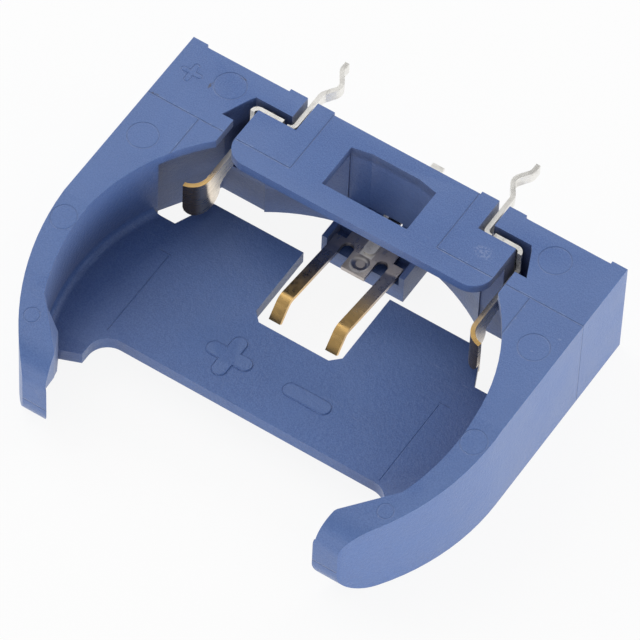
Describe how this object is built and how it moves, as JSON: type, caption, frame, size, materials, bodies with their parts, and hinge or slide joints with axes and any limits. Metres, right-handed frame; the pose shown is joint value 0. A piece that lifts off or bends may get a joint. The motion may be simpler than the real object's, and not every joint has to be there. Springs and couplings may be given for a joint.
{
  "type": "coin cell holder",
  "caption": "Low C-shaped plastic holder for a coin cell, with side spring contacts, a fork contact under the cell and solder tails out of its straight back.",
  "frame": {"origin": "middle of the width and of the overall length with the solder tails, on the plane of the rails' undersides", "axes": "+X across the width, +Y towards the circuit board and out along the solder tails, +Z along the cell's axis, away from the floor plate"},
  "size_m": [0.023, 0.0212, 0.0058],
  "materials": {
    "housing_plastic": "moulded blue thermoplastic, fine eroded surface",
    "contact_metal": "tin-plated tails and gold-plated springs on nickel",
    "fork_metal": "nickel-plated, gold at the tips"
  },
  "bodies": {
    "root": {"housing": "housing_plastic", "side_contact_left": "contact_metal", "side_contact_right": "contact_metal", "fork_contact": "fork_metal"}
  },
  "joints": []
}
